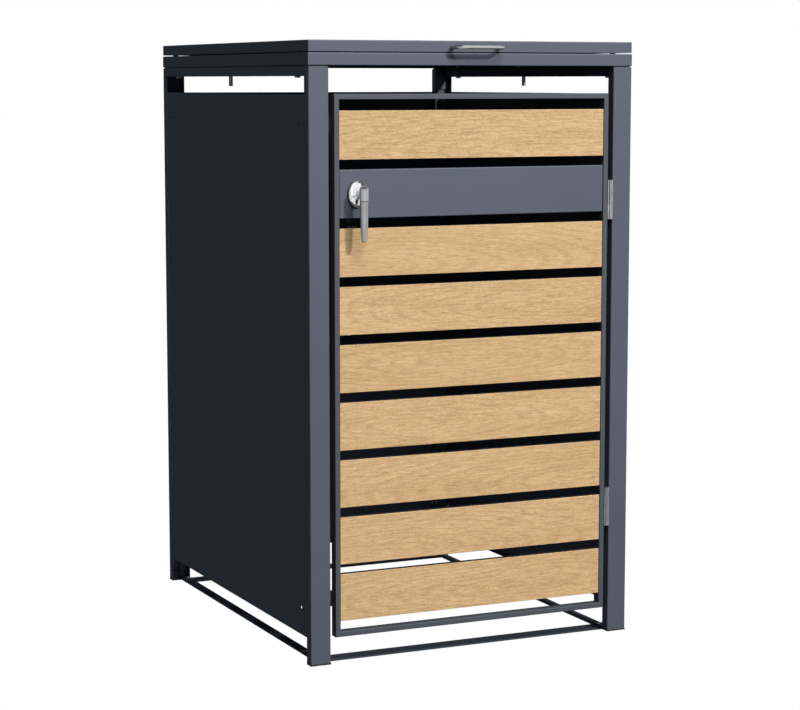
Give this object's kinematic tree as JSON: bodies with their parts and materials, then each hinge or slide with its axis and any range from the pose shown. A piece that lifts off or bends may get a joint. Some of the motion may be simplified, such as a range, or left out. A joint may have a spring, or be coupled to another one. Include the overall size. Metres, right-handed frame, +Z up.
{
  "type": "wheeled bin shelter",
  "caption": "Free-standing steel shelter for a wheeled litter bin, with a slatted lockable door on the front and a lid that lifts on gas springs.",
  "frame": {"origin": "on the ground, under the centre of the whole object's bounding box", "axes": "+X to the right seen from the front, +Y towards the rear, +Z up; the door faces -Y"},
  "size_m": [0.6726, 0.8514, 1.152],
  "materials": {
    "anthracite_steel": "fine satin powder coat",
    "oak_decor": "satin light oak board with horizontal grain",
    "lock_chrome": "polished",
    "bright_steel": "brushed",
    "black_steel": "satin black",
    "black_plastic": "matt moulded",
    "black_rubber": "matt"
  },
  "bodies": {
    "frame": {"back_panel": "anthracite_steel", "back_panel_screws": "bright_steel", "base_bars": "anthracite_steel", "door_hinge_post_leaves": "bright_steel", "door_stops": "anthracite_steel", "foot_caps": "black_plastic", "frame_bolts": "bright_steel", "gas_spring_anchors": "bright_steel", "hinge_pins": "bright_steel", "lid_hinge_ring_leaves": "bright_steel", "panel_nuts": "bright_steel", "post_front_left": "anthracite_steel", "post_front_right": "anthracite_steel", "post_rear_left": "anthracite_steel", "post_rear_right": "anthracite_steel", "ring_front": "anthracite_steel", "ring_left": "anthracite_steel", "ring_nuts": "bright_steel", "ring_rear": "anthracite_steel", "ring_right": "anthracite_steel", "ring_spacers": "black_plastic", "rubber_buffers": "black_rubber", "side_panel_left": "anthracite_steel", "side_panel_right": "anthracite_steel", "top_rail_left": "anthracite_steel", "top_rail_right": "anthracite_steel"},
    "door": {"door_stile_left": "anthracite_steel", "door_stile_right": "anthracite_steel", "door_rail_top": "anthracite_steel", "door_rail_bottom": "anthracite_steel", "slat_1": "oak_decor", "slat_2": "oak_decor", "slat_3": "oak_decor", "slat_4": "oak_decor", "slat_5": "oak_decor", "slat_6": "oak_decor", "slat_7": "oak_decor", "slat_8": "oak_decor", "lock_plate": "anthracite_steel", "slat_tabs": "anthracite_steel", "slat_screws": "bright_steel", "door_hinge_leaves": "bright_steel", "escutcheon": "lock_chrome", "lock_gasket": "black_rubber", "lock_barrel": "lock_chrome", "lock_nut": "bright_steel"},
    "lock_handle": {"lock_lever": "lock_chrome", "lock_cam": "black_steel", "cam_screw": "bright_steel"},
    "lid": {"lid_panel": "anthracite_steel", "lid_stiffeners": "anthracite_steel", "lid_handle": "bright_steel", "lid_handle_screws": "bright_steel", "lid_hinge_leaves": "bright_steel", "gas_spring_lid_brackets": "bright_steel"},
    "gas_cylinder_left": {"gas_cylinder_left": "black_steel"},
    "gas_cylinder_right": {"gas_cylinder_right": "black_steel"},
    "gas_rod_left": {"gas_rod_left": "bright_steel"},
    "gas_rod_right": {"gas_rod_right": "bright_steel"}
  },
  "joints": [
    {"name": "door_hinge", "type": "hinge", "parent": "frame", "child": "door", "pos_m": [0.291, -0.3863, 0.5525], "axis": [0, 0, 1], "range_deg": [0, 120]},
    {"name": "lock_turn", "type": "hinge", "parent": "door", "child": "lock_handle", "pos_m": [-0.2402, -0.3948, 0.873], "axis": [0, 1, 0], "range_deg": [0, 90]},
    {"name": "lid_hinge", "type": "hinge", "parent": "frame", "child": "lid", "pos_m": [0, 0.4222, 1.1305], "axis": [-1, 0, 0], "range_deg": [0, 70]},
    {"name": "gas_pivot_left", "type": "hinge", "parent": "frame", "child": "gas_cylinder_left", "pos_m": [-0.305, 0.0362, 1.117], "axis": [1, 0, 0], "range_deg": [0, 9.32]},
    {"name": "gas_slide_left", "type": "slide", "parent": "gas_cylinder_left", "child": "gas_rod_left", "axis": [0, 0.9976, 0.069], "range_m": [0, 0.0663]},
    {"name": "gas_pivot_right", "type": "hinge", "parent": "frame", "child": "gas_cylinder_right", "pos_m": [0.305, 0.0362, 1.117], "axis": [1, 0, 0], "range_deg": [0, 9.32]},
    {"name": "gas_slide_right", "type": "slide", "parent": "gas_cylinder_right", "child": "gas_rod_right", "axis": [0, 0.9976, 0.069], "range_m": [0, 0.0663]}
  ],
  "couplings": [
    {"joint": "gas_pivot_left", "follows": "lid_hinge", "ratio": 0.13298},
    {"joint": "gas_slide_left", "follows": "lid_hinge", "m_per_rad": 0.05419},
    {"joint": "gas_pivot_right", "follows": "lid_hinge", "ratio": 0.13298},
    {"joint": "gas_slide_right", "follows": "lid_hinge", "m_per_rad": 0.05419}
  ]
}
